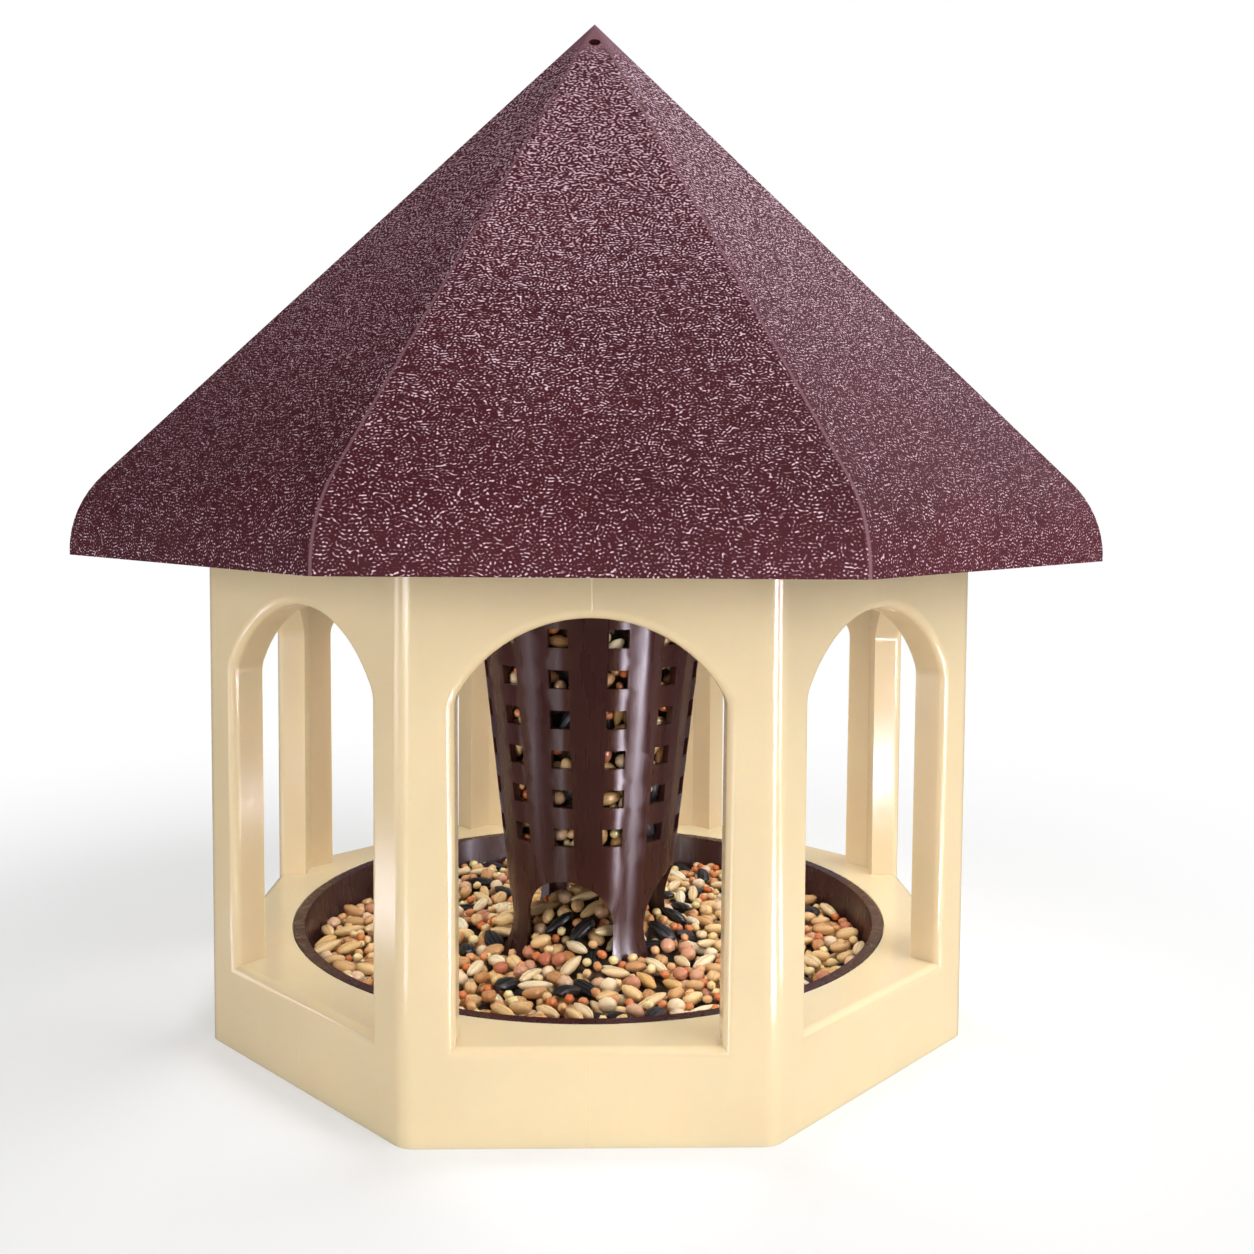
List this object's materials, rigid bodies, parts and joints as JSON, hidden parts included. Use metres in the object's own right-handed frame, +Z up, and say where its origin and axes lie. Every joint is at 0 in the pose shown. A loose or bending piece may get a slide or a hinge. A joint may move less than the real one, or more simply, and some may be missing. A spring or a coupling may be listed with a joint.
{
  "type": "bird feeding house",
  "caption": "Octagonal plastic bird feeding house with a lift-off grained pyramid roof, arched openings, a round seed dish and a perforated tapered seed hopper.",
  "frame": {"origin": "middle of the base, on the surface that the house stands on", "axes": "+Z up through the roof's apex, -Y out of the front opening, +X to the right as seen from the front"},
  "size_m": [0.2504, 0.2504, 0.2673],
  "materials": {
    "house_plastic": "smooth satin beige moulding",
    "roof_plastic": "maroon brown moulding with a fine leather grain",
    "dish_plastic": "glossy dark brown moulding",
    "hopper_plastic": "glossy dark brown moulding",
    "seed": "mixed dry bird seed"
  },
  "bodies": {
    "house": {"house_body": "house_plastic"},
    "roof": {"roof": "roof_plastic"},
    "dish": {"dish": "dish_plastic", "seed_bed": "seed"},
    "hopper": {"hopper": "hopper_plastic", "seed_column": "seed"}
  },
  "joints": [
    {"name": "roof_lift", "type": "slide", "parent": "house", "child": "roof", "axis": [0, 0, 1], "range_m": [0, 0.15]},
    {"name": "dish_lift", "type": "slide", "parent": "house", "child": "dish", "axis": [0, 0, 1], "range_m": [0, 0.05]},
    {"name": "hopper_lift", "type": "slide", "parent": "dish", "child": "hopper", "axis": [0, 0, 1], "range_m": [0, 0.045]}
  ]
}
